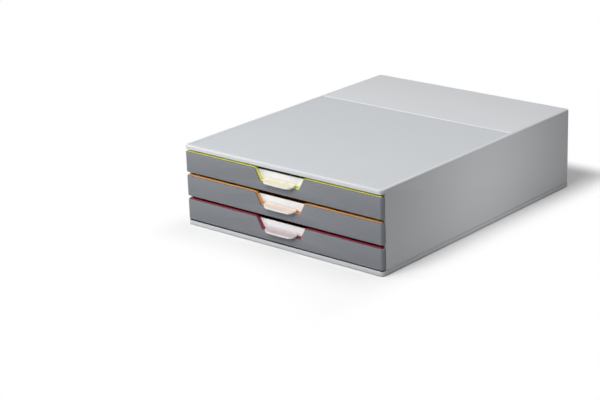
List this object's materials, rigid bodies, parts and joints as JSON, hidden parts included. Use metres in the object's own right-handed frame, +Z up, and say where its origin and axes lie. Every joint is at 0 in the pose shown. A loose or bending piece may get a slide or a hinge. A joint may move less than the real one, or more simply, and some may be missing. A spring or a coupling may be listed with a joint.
{
  "type": "desktop file drawer",
  "caption": "Low desktop box for papers with shallow sliding drawers, each with a coloured tray, a dark front panel and a clear label window with a pull lip.",
  "frame": {"origin": "middle of the bounding box in plan, on the surface that the feet stand on", "axes": "+Z up, the drawers open towards -Y, +X to the right for someone in front of the drawers"},
  "size_m": [0.28, 0.3618, 0.095],
  "materials": {
    "shell_grey": "light grey moulded plastic, satin",
    "inner_grey": "mid grey moulded plastic, satin",
    "front_grey": "dark grey moulded plastic, soft gloss",
    "tray_yellow": "yellow moulded plastic, soft gloss",
    "tray_orange": "orange moulded plastic, soft gloss",
    "tray_red": "crimson moulded plastic, soft gloss",
    "window_clear": "clear moulded plastic, polished",
    "card_white": "plain white card",
    "foot_rubber": "black rubber"
  },
  "bodies": {
    "housing": {"housing_shell": "shell_grey", "rear_panel": "shell_grey", "base_tray": "shell_grey", "left_runner_frame": "inner_grey", "right_runner_frame": "inner_grey", "front_left_foot": "foot_rubber", "front_right_foot": "foot_rubber", "rear_left_foot": "foot_rubber", "rear_right_foot": "foot_rubber"},
    "top_drawer": {"top_tray": "tray_yellow", "top_front_panel": "front_grey", "top_label_window": "window_clear", "top_label_card": "card_white"},
    "middle_drawer": {"middle_tray": "tray_orange", "middle_front_panel": "front_grey", "middle_label_window": "window_clear", "middle_label_card": "card_white"},
    "bottom_drawer": {"bottom_tray": "tray_red", "bottom_front_panel": "front_grey", "bottom_label_window": "window_clear", "bottom_label_card": "card_white"}
  },
  "joints": [
    {"name": "top_drawer_slide", "type": "slide", "parent": "housing", "child": "top_drawer", "axis": [0, -1, 0], "range_m": [0, 0.24]},
    {"name": "middle_drawer_slide", "type": "slide", "parent": "housing", "child": "middle_drawer", "axis": [0, -1, 0], "range_m": [0, 0.24]},
    {"name": "bottom_drawer_slide", "type": "slide", "parent": "housing", "child": "bottom_drawer", "axis": [0, -1, 0], "range_m": [0, 0.24]}
  ]
}
